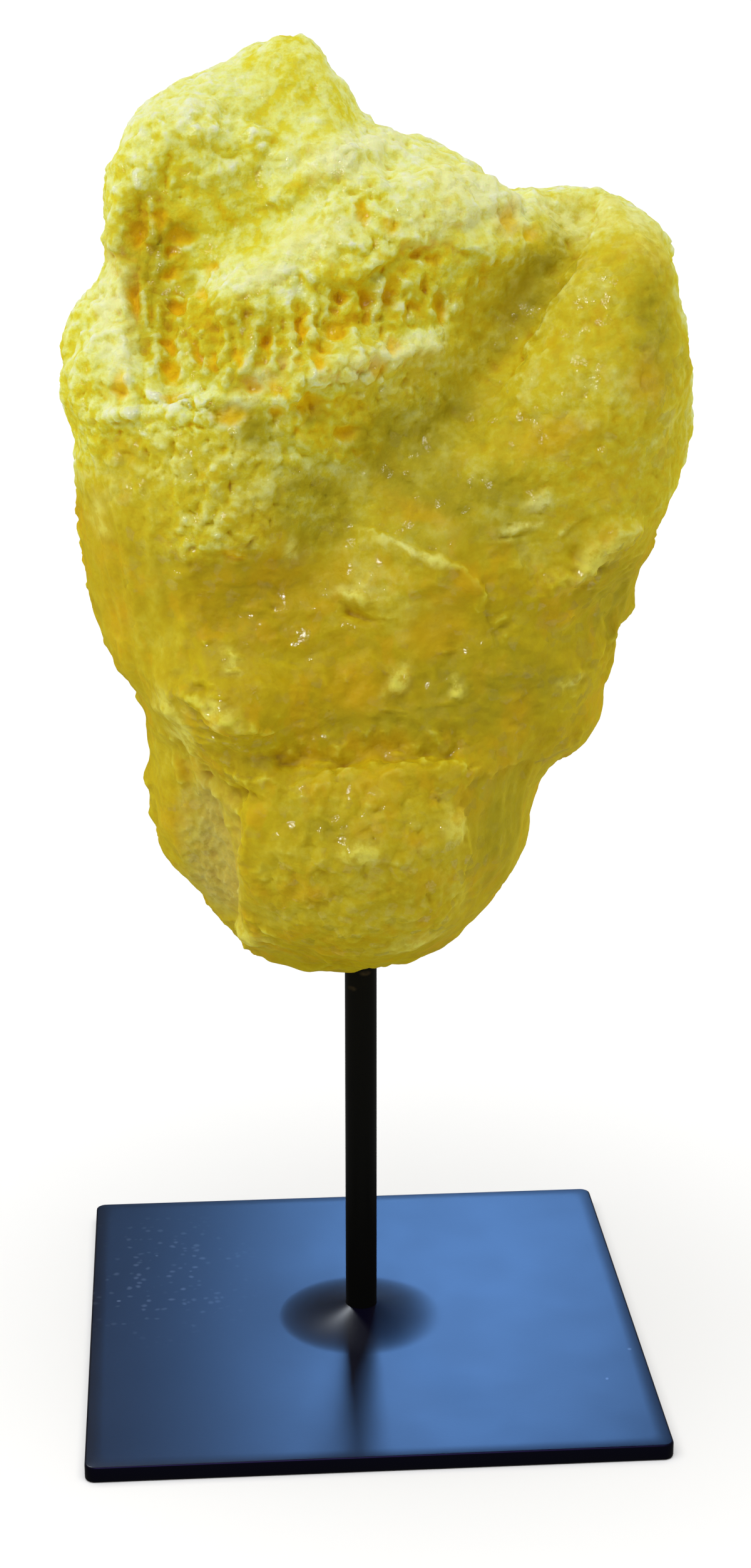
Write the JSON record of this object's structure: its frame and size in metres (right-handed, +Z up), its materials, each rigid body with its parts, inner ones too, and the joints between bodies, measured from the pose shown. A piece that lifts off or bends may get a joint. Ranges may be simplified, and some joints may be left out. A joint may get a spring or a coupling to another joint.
{
  "type": "native sulfur specimen on display stand",
  "caption": "Lump of native sulfur with pitted, crusted and waxy faces, held upright on a round rod that rises from a square black steel plate.",
  "frame": {"origin": "centre of the base plate's underside", "axes": "+Z up along the rod, +Y to the back, +X to the right as seen from the front"},
  "size_m": [0.148, 0.14, 0.3261],
  "materials": {
    "black_steel": "satin",
    "sulfur": "rough, waxy where it broke"
  },
  "bodies": {
    "root": {"base_plate": "black_steel", "support_rod": "black_steel", "sulfur_specimen": "sulfur"}
  },
  "joints": []
}
